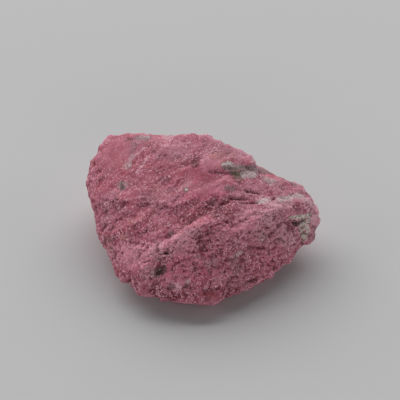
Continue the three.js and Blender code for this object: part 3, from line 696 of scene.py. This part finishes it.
# Other minerals grown into the rock; the pink grains stop at their edges.
patches = [
    {"colour": "grey", "at": (-0.59, 0.72, 0.82), "to": (-0.60, 0.55, 0.79), "width": 1.1, "ragged": 1.2,
     "much": 0.45},
    {"colour": "greyWhite", "at": (-0.60, 0.52, 0.79), "to": (-0.65, 0.41, 0.75), "width": 1.2,
     "ragged": 1.0, "much": 0.45},
    {"colour": "white", "at": (-0.62, 0.42, 0.76), "width": 0.7, "much": 0.8},
    {"colour": "grey", "at": (-0.56, 0.76, 0.84), "to": (-0.47, 0.74, 0.86), "width": 1.6, "much": 0.75},
    {"colour": "greyWhite", "at": (-0.53, 0.78, 0.85), "to": (-0.46, 0.76, 0.86), "width": 0.9,
     "ragged": 1.2, "much": 0.6},
    {"colour": "greyWhite", "at": (-0.68, 0.20, 0.68), "width": 2.0, "much": 0.45},
    {"colour": "greenGrey", "at": (-0.68, 0.23, 0.69), "to": (-0.68, 0.16, 0.67), "width": 1.1,
     "ragged": 0.3, "much": 0.9},
    {"colour": "brown", "at": (-0.68, 0.22, 0.69), "to": (-0.68, 0.17, 0.67), "width": 0.7, "ragged": 0.3},
    {"colour": "darkMaroon", "at": (-0.05, 0.28, 0.88), "to": (-0.05, 0.34, 0.90), "width": 2.0,
     "ragged": 0.25, "much": 0.75},
    {"colour": "darkMaroon", "at": (0.11, -0.31, 0.76), "to": (0.16, -0.19, 0.75), "width": 1.6,
     "ragged": 0.35, "much": 0.55},
    {"colour": "beige", "at": (0.10, 0.36, 0.93), "to": (0.18, 0.38, 0.94), "width": 1.7, "ragged": 1.0,
     "much": 0.5},
    {"colour": "olive", "at": (-0.14, 0.01, 0.80), "width": 1.3, "much": 0.6},
    {"colour": "white", "at": (-0.13, 0.01, 0.80), "width": 0.7, "much": 0.9},
    {"colour": "grey", "at": (0.21, -0.01, 0.84), "to": (0.26, 0.00, 0.82), "width": 1.4},
    {"colour": "greenGrey", "at": (0.20, 0.25, 0.90), "to": (0.28, 0.23, 0.88), "width": 1.9, "much": 0.9},
    {"colour": "greenGrey", "at": (0.28, 0.22, 0.88), "to": (0.42, 0.23, 0.84), "width": 2.9, "ragged": 0.4,
     "much": 0.95},
    {"colour": "grey", "at": (0.42, 0.25, 0.83), "to": (0.53, 0.42, 0.71), "width": 2.5, "much": 0.9},
    {"colour": "darkMaroon", "at": (0.25, 0.22, 0.88), "to": (0.36, 0.20, 0.85), "width": 1.3, "ragged": 1.2,
     "much": 0.5},
    {"colour": "olive", "at": (0.29, 0.19, 0.86), "to": (0.31, 0.14, 0.83), "width": 1.8},
    {"colour": "greyWhite", "at": (0.35, 0.19, 0.83), "to": (0.43, 0.22, 0.81), "width": 1.6, "ragged": 0.3,
     "much": 0.9},
    {"colour": "greyWhite", "at": (0.24, 0.28, 0.89), "to": (0.46, 0.31, 0.80), "width": 0.9, "ragged": 1.2,
     "much": 0.5},
    {"colour": "white", "at": (0.18, 0.27, 0.90), "to": (0.23, 0.30, 0.90), "width": 0.8, "ragged": 0.8,
     "much": 0.8},
    {"colour": "greyWhite", "at": (0.43, 0.35, 0.84), "width": 2.2, "ragged": 0.9, "much": 0.6},
    {"colour": "greenGrey", "at": (0.54, 0.41, 0.70), "to": (0.68, 0.33, 0.69), "width": 2.1, "much": 0.9},
    {"colour": "grey", "at": (0.68, 0.28, 0.71), "to": (0.80, 0.23, 0.65), "width": 0.9},
    {"colour": "greyWhite", "at": (0.54, 0.19, 0.77), "to": (0.59, 0.18, 0.75), "width": 1.7, "ragged": 0.9,
     "much": 0.65},
    {"colour": "palest", "at": (0.50, -0.06, 0.72), "to": (0.62, -0.11, 0.68), "width": 2.6, "ragged": 1.1,
     "much": 0.5},
    {"colour": "white", "at": (0.47, -0.09, 0.71), "to": (0.55, -0.04, 0.71), "width": 0.9, "ragged": 1.3,
     "much": 0.75},
    {"colour": "greyWhite", "at": (0.65, -0.01, 0.68), "to": (0.83, 0.11, 0.63), "width": 1.4, "ragged": 1.0,
     "much": 0.9},
    {"colour": "greyWhite", "at": (0.83, 0.10, 0.63), "to": (0.93, 0.06, 0.55), "width": 1.2, "ragged": 0.9,
     "much": 0.5},
    {"colour": "greenWhite", "at": (0.74, -0.15, 0.52), "to": (0.80, -0.10, 0.52), "width": 0.9,
     "much": 0.9},
    {"colour": "greenWhite", "at": (0.80, -0.10, 0.52), "to": (0.92, -0.02, 0.48), "width": 1.1,
     "much": 0.95},
    {"colour": "greenWhite", "at": (0.83, -0.11, 0.45), "to": (0.90, -0.07, 0.44), "width": 1.4,
     "much": 0.85},
    {"colour": "greenWhite", "at": (0.83, -0.14, 0.41), "to": (0.87, -0.17, 0.27), "width": 1.5,
     "ragged": 1.0, "much": 0.75},
    {"colour": "beige", "at": (0.93, -0.09, 0.38), "to": (0.92, -0.12, 0.32), "width": 1.0, "ragged": 1.0,
     "much": 0.6},
    {"colour": "greenWhite", "at": (0.87, -0.09, 0.43), "to": (0.90, -0.13, 0.33), "width": 0.9,
     "much": 0.85},
    {"colour": "olive", "at": (0.77, -0.14, 0.47), "to": (0.86, -0.09, 0.46), "width": 0.9, "much": 0.8},
    {"colour": "nearBlack", "at": (0.77, -0.14, 0.46), "to": (0.80, -0.13, 0.45), "width": 0.9,
     "much": 0.95},
    {"colour": "nearBlack", "at": (0.80, -0.12, 0.46), "to": (0.91, -0.05, 0.46), "width": 0.4},
    {"colour": "nearBlack", "at": (0.82, -0.13, 0.43), "to": (0.86, -0.14, 0.32), "width": 0.4, "much": 0.6},
    {"colour": "nearBlack", "at": (0.90, -0.13, 0.33), "to": (0.90, -0.14, 0.30), "width": 0.7, "much": 0.8},
    {"colour": "grey", "at": (0.93, -0.13, 0.24), "to": (0.99, -0.03, 0.30), "width": 1.6, "much": 0.6},
    {"colour": "brown", "at": (-0.33, -0.66, 0.48), "to": (-0.27, -0.63, 0.54), "width": 2.0, "ragged": 1.1},
    {"colour": "nearBlack", "at": (-0.30, -0.65, 0.50), "width": 0.7, "ragged": 1.2, "much": 0.6},
    {"colour": "palest", "at": (-0.36, -0.66, 0.46), "to": (-0.33, -0.62, 0.52), "width": 0.6,
     "ragged": 1.2},
    {"colour": "greenGrey", "at": (-0.39, -0.74, 0.35), "to": (-0.32, -0.71, 0.39), "width": 1.8,
     "ragged": 0.9, "much": 0.8},
    {"colour": "nearBlack", "at": (-0.36, -0.73, 0.36), "to": (-0.32, -0.71, 0.39), "width": 1.2,
     "ragged": 0.8, "much": 0.9},
    {"colour": "white", "at": (-0.35, -0.71, 0.38), "width": 0.4, "much": 0.9},
    {"colour": "palest", "at": (-0.41, -0.73, 0.36), "to": (-0.39, -0.70, 0.40), "width": 0.6,
     "ragged": 1.2},
    {"colour": "grey", "at": (-0.27, -0.46, 0.64), "width": 1.2},
    {"colour": "nearBlack", "at": (-0.28, -0.50, 0.63), "width": 0.9, "much": 0.9},
    {"colour": "brown", "at": (-0.75, -0.30, 0.42), "to": (-0.83, -0.27, 0.35), "width": 1.3, "ragged": 1.0},
    {"colour": "brown", "at": (0.04, -0.72, 0.41), "to": (0.07, -0.78, 0.37), "width": 0.45, "much": 0.8},
    {"colour": "greyWhite", "at": (0.28, -0.61, 0.47), "to": (0.33, -0.57, 0.47), "width": 0.8, "much": 0.8},
    {"colour": "greenGrey", "at": (0.25, -0.64, 0.45), "to": (0.29, -0.70, 0.35), "width": 2.0,
     "ragged": 1.1, "much": 0.5},
    {"colour": "olive", "at": (0.49, -0.41, 0.55), "width": 1.9, "ragged": 1.1, "much": 0.55},
    {"colour": "greyWhite", "at": (-0.12, -0.85, 0.35), "width": 1.1, "much": 0.8},
    {"colour": "palest", "at": (-0.26, -0.86, 0.30), "to": (-0.20, -0.87, 0.30), "width": 1.3, "ragged": 1.0,
     "much": 0.95},
    {"colour": "nearBlack", "at": (-0.13, -0.88, 0.32), "width": 1.0},
    # this rose cover is no other mineral: it takes most of the painted glints off the back
    {"colour": "rose", "at": (-0.62, 0.97, 0.30), "to": (0.72, 0.72, 0.22), "width": 16.0, "ragged": 0.15,
     "much": 0.45},
]
usualPatch = {"ragged": 0.55, "lumps": 0.9, "edge": 0.3, "much": 0.7}


def onSurface(share):
    # the point of the finished surface nearest to a place
    nearest = stone.closest_point_on_mesh(Vector(place(share)) / perMetre)
    return nearest[1] * perMetre


def stored(tree, name):
    # a value that the relief left on the mesh
    return addNode(tree, "ShaderNodeAttribute", attribute_name=name).outputs["Fac"]


def rockColour(tree, point, coarse):
    # broad drift from deeper rose to rosy, pale and dark layers along the grain, veils of tint, and mottle
    drift, layers, mottle = rock["drift"], rock["layers"], rock["mottle"]
    driftNoise = clouds(tree, alongGrain(tree, point, drift["stretch"]), drift["size"], detail=3)
    rosy = spread(tree, driftNoise.outputs[0], *drift["range"])
    colour = blendColour(tree, rosy, mineral["deepRose"], mineral["rose"])
    layerPoint = alongGrain(tree, point, layers["stretch"])
    layerNoise = clouds(tree, layerPoint, layers["size"], detail=4, rough=0.65, warp=0.4).outputs[0]
    colour = blendColour(tree, spread(tree, layerNoise, *layers["pale"]), colour, mineral["palePink"])
    colour = blendColour(tree, spread(tree, layerNoise, *layers["dark"]), colour, mineral["maroon"])
    for veil in veils:
        shifted = vectorMaths(tree, "ADD", alongGrain(tree, point, veil["stretch"]), veil["shift"])
        cover = spread(tree, clouds(tree, shifted, veil["size"], detail=3).outputs[0], *veil["range"])
        colour = blendColour(tree, cover, colour, mineral[veil["colour"]])
    mottleNoise = clouds(tree, point, mottle["size"], detail=3, rough=0.6).outputs[0]
    dark = spread(tree, mottleNoise, *mottle["range"])
    mottled = maths(tree, "MULTIPLY", dark, spread(tree, coarse, *mottle["coarse"]))
    return blendColour(tree, mottled, colour, mineral["maroon"])


def paintMarks(tree, streak, point, colour, marks, usual):
    # lays each mark over the colour, and gives the masks as well
    masks = markMasks(tree, streak, point, marks, usual, onSurface)
    for mark, mask in zip(marks, masks):
        colour = blendColour(tree, mask, colour, mineral[mark["colour"]])
    return colour, masks


def paintGrains(tree, own, colour, looks, pureness):
    # some grains come out paler, the palest small ones partly as painted glints, and some darker
    first, full = looks["from"], grains["fullAt"]
    for tone, ends in {"pale": (first, full), "dark": (1 - first, 1 - full)}.items():
        name, most = looks[tone]
        chosen = maths(tree, "MULTIPLY", spread(tree, own, *ends, 0, most), pureness)
        colour = blendColour(tree, chosen, colour, mineral[name])
    return colour


def thuliteStone():
    material = bpy.data.materials.new("thuliteStone")
    material.use_nodes = True
    tree = material.node_tree
    tree.nodes.clear()
    streak = buildStreak("mineralStreak", "ShaderNodeTree")
    point = stretched(tree, addNode(tree, "ShaderNodeTexCoord").outputs["Object"], perMetre)
    coarse = stored(tree, "coarse")
    colour = rockColour(tree, point, coarse)
    colour = paintMarks(tree, streak, point, colour, tones, usualTone)[0]

    # spots and patches end at the edges of whole grains
    smallCells = cells(tree, point, grains["small"]["size"])
    grainPoint = smallCells.outputs["Position"]
    colour = paintMarks(tree, streak, grainPoint, colour, spots, usualSpot)[0]
    colour, patchMasks = paintMarks(tree, streak, grainPoint, colour, patches, usualPatch)
    covered = combined(tree, "MAXIMUM", patchMasks)
    bare = maths(tree, "MULTIPLY_ADD", covered, -grains["underPatch"], 1.0, clamp=True)
    clumps = clouds(tree, point, grains["clumps"]["size"], detail=2).outputs[0]
    pureness = combined(tree, "MULTIPLY", [
        bare,
        spread(tree, coarse, *grains["onCoarse"]),
        spread(tree, clumps, *grains["clumps"]["range"]),
    ])

    bend = grains["bend"]
    bendNoise = clouds(tree, point, bend["size"]).outputs["Color"]
    bent = vectorMaths(tree, "ADD", point, stretched(tree, bendNoise, bend["reach"]))
    coarseCells = cells(tree, alongGrain(tree, bent, bend["stretch"]), grains["coarse"]["size"])
    own = parted(tree, coarseCells.outputs["Color"])
    tiny = parted(tree, smallCells.outputs["Color"])
    colour = paintGrains(tree, own[0], colour, grains["coarse"], pureness)
    colour = paintGrains(tree, tiny[1], colour, grains["small"], pureness)
    darkest, gain = grains["patchShade"]
    shade = maths(tree, "MULTIPLY_ADD", tiny[1], gain, darkest)
    colour = blendColour(tree, covered, colour, blendColour(tree, 1.0, colour, shade, "MULTIPLY"))

    # painted shade darkens the hollows, partly as dark dust, and high grains are bruised pale
    hollow = stored(tree, "hollowFine")
    fineHollowShade = spread(tree, hollow, *finish["fineHollowShade"])
    broadHollowShade = spread(tree, stored(tree, "hollowBroad"), *finish["broadHollowShade"])
    hollowShade = maths(tree, "MAXIMUM", fineHollowShade, broadHollowShade)
    colour = blendColour(tree, hollowShade, colour, mineral["darkMaroon"])
    colour = blendColour(tree, spread(tree, hollow, *finish["bruise"]), colour, mineral["palePink"])

    bump = finish["bump"]
    noise = clouds(tree, point, bump["size"]).outputs[0]
    heights = maths(tree, "MULTIPLY_ADD", own[1], bump["grainShare"], noise)
    bumps = {"Strength": bump["strength"], "Distance": bump["height"] / perMetre, "Height": heights}
    surface = addNode(tree, "ShaderNodeBsdfPrincipled", {
        "Base Color": colour,
        "Roughness": spread(tree, own[2], 0.0, 1.0, *finish["roughness"]),
        "Specular IOR Level": finish["specular"],
        "Normal": addNode(tree, "ShaderNodeBump", bumps).outputs[0],
    })
    addNode(tree, "ShaderNodeOutputMaterial", {"Surface": surface.outputs[0]})
    return material


stone.data.materials.clear()
stone.data.materials.append(thuliteStone())
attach(stone, "root")
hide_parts("thulite_stone")
print("stone finished with", len(tones) + len(spots) + len(patches), "marks")


# Table, light and camera.

table = {"size": 8.0, "colour": (0.64, 0.64, 0.645, 1.0), "roughness": 0.9, "specular": 0.1}


def makeTable(parts):
    bpy.ops.mesh.primitive_plane_add(size=parts["size"], location=(0, 0, 0))
    floor = bpy.context.object
    floor.name = "table"
    material = bpy.data.materials.new("paleTable")
    material.use_nodes = True
    surface = material.node_tree.nodes["Principled BSDF"]
    surface.inputs["Base Color"].default_value = parts["colour"]
    surface.inputs["Roughness"].default_value = parts["roughness"]
    surface.inputs["Specular IOR Level"].default_value = parts["specular"]
    floor.data.materials.append(material)
    floor.select_set(False)


# Lights stand round the stone: `around` is 0 behind it and grows towards its right, `up` is above the table.
lights = {
    "key": {"around": -8, "up": 39, "away": 5.2, "size": (10.0, 4.0), "power": 392},
    "leftSide": {"around": -85, "up": 22, "away": 5.2, "size": (5.0, 3.0), "power": 52},
    "rightSide": {"around": 80, "up": 22, "away": 5.2, "size": (5.0, 3.0), "power": 34},
    "fill": {"around": 175, "up": 13, "away": 5.2, "size": (9.0, 2.0), "power": 90},
}
airLight = {"colour": (0.97, 0.98, 1.0, 1.0), "strength": 0.04}


def makeLight(name, parts):
    turn, lift = math.radians(parts["around"]), math.radians(parts["up"])
    way = Vector((math.sin(turn) * math.cos(lift), math.cos(turn) * math.cos(lift), math.sin(lift)))
    bpy.ops.object.light_add(type="AREA", location=way * parts["away"])
    lamp = bpy.context.object
    lamp.name = name
    lamp.rotation_euler = way.to_track_quat("Z", "Y").to_euler()
    lamp.data.shape = "RECTANGLE"
    lamp.data.size, lamp.data.size_y = parts["size"]
    lamp.data.energy = parts["power"]
    lamp.visible_camera = False


# The camera looks along +Y and down. Metres and degrees, but the lens and its sensor in millimetres.
camera = {"up": 42, "away": 0.6, "aim": (-0.000917, 0.000388, 0.026), "lens": 132.5, "sensor": 36,
          "nearest": 0.01}


def makeCamera(parts):
    lift = math.radians(parts["up"])
    back = Vector((0, -math.cos(lift), math.sin(lift)))
    bpy.ops.object.camera_add(location=Vector(parts["aim"]) + back * parts["away"])
    eye = bpy.context.object
    eye.rotation_euler = back.to_track_quat("Z", "Y").to_euler()
    eye.data.lens = parts["lens"]
    eye.data.sensor_width = parts["sensor"]
    eye.data.clip_start = parts["nearest"]
    bpy.context.scene.camera = eye


def makeAir(parts):
    world = bpy.data.worlds.new("air")
    world.use_nodes = True
    air = world.node_tree.nodes["Background"]
    air.inputs["Color"].default_value = parts["colour"]
    air.inputs["Strength"].default_value = parts["strength"]
    bpy.context.scene.world = world


makeTable(table)
for name, parts in lights.items():
    makeLight(name, parts)
makeAir(airLight)
makeCamera(camera)
bpy.context.scene.view_settings.view_transform = "Standard"
print("table, lights and camera placed")
